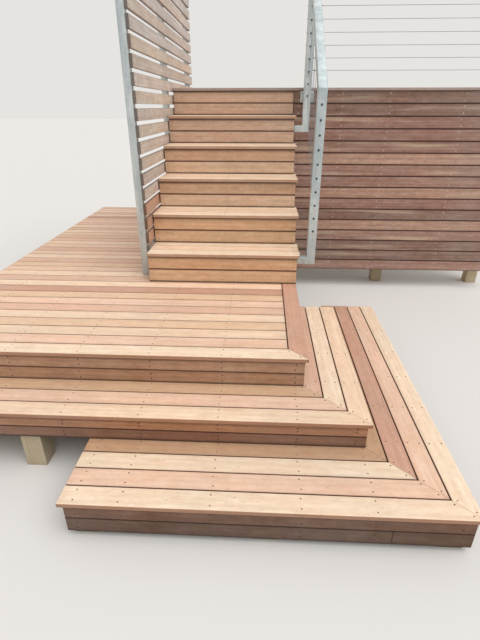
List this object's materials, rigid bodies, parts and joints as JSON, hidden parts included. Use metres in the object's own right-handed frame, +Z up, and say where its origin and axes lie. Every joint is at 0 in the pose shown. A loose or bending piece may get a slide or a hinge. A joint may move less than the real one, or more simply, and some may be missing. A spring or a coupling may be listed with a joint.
{
  "type": "timber deck stairs with landing and raised deck",
  "caption": "Timber stair flight from a wrap-around stepped landing to a raised clad deck, with a slatted side screen and a wire balustrade.",
  "frame": {"origin": "on the ground under the middle of the whole assembly", "axes": "+Z up, +Y the way a person climbs the flight, +X to that person's right along the raised deck's front"},
  "size_m": [3.735, 3.719, 2.594],
  "materials": {
    "flight_boards": "oiled hardwood, warm tan",
    "tread_boards": "oiled hardwood, pale top face",
    "decking": "hardwood decking, cream to pink, lightly weathered",
    "step_risers": "hardwood boards in the shade of the nosings",
    "cladding": "dark red-brown hardwood, weathered",
    "slats": "grey weathered hardwood",
    "framing": "treated softwood, sawn",
    "galvanised_steel": "hot-dip galvanised steel, dull spangle",
    "wire": "stranded stainless wire"
  },
  "bodies": {
    "root": {"riser_1": "flight_boards", "riser_2": "flight_boards", "riser_3": "flight_boards", "riser_4": "flight_boards", "riser_5": "flight_boards", "riser_6": "flight_boards", "tread_1": "tread_boards", "tread_2": "tread_boards", "tread_3": "tread_boards", "tread_4": "tread_boards", "tread_5": "tread_boards", "stringer_left": "framing", "stringer_middle": "framing", "stringer_right": "framing", "landing_boards": "decking", "landing_border_front": "decking", "landing_border_side": "decking", "landing_risers": "step_risers", "landing_joists": "framing", "landing_bearers": "framing", "landing_stumps": "framing", "middle_step_boards": "decking", "middle_step_risers": "step_risers", "middle_step_frame": "framing", "middle_step_stumps": "framing", "lower_step_boards": "decking", "lower_step_fascia": "step_risers", "lower_step_frame": "framing", "lower_step_feet": "framing", "deck_boards": "decking", "deck_joists": "framing", "deck_bearers": "framing", "deck_posts": "framing", "stringer_ledger": "framing", "cladding_boards": "cladding", "cladding_battens": "framing", "screen_front_post": "galvanised_steel", "screen_middle_post": "galvanised_steel", "screen_back_post": "galvanised_steel", "screen_slats": "slats", "stair_post_lower": "galvanised_steel", "stair_post_upper": "galvanised_steel", "deck_corner_post": "galvanised_steel", "deck_end_post": "galvanised_steel", "stair_handrail": "galvanised_steel", "deck_top_rail": "galvanised_steel", "stair_wires": "wire", "deck_wires": "wire"}
  },
  "joints": []
}
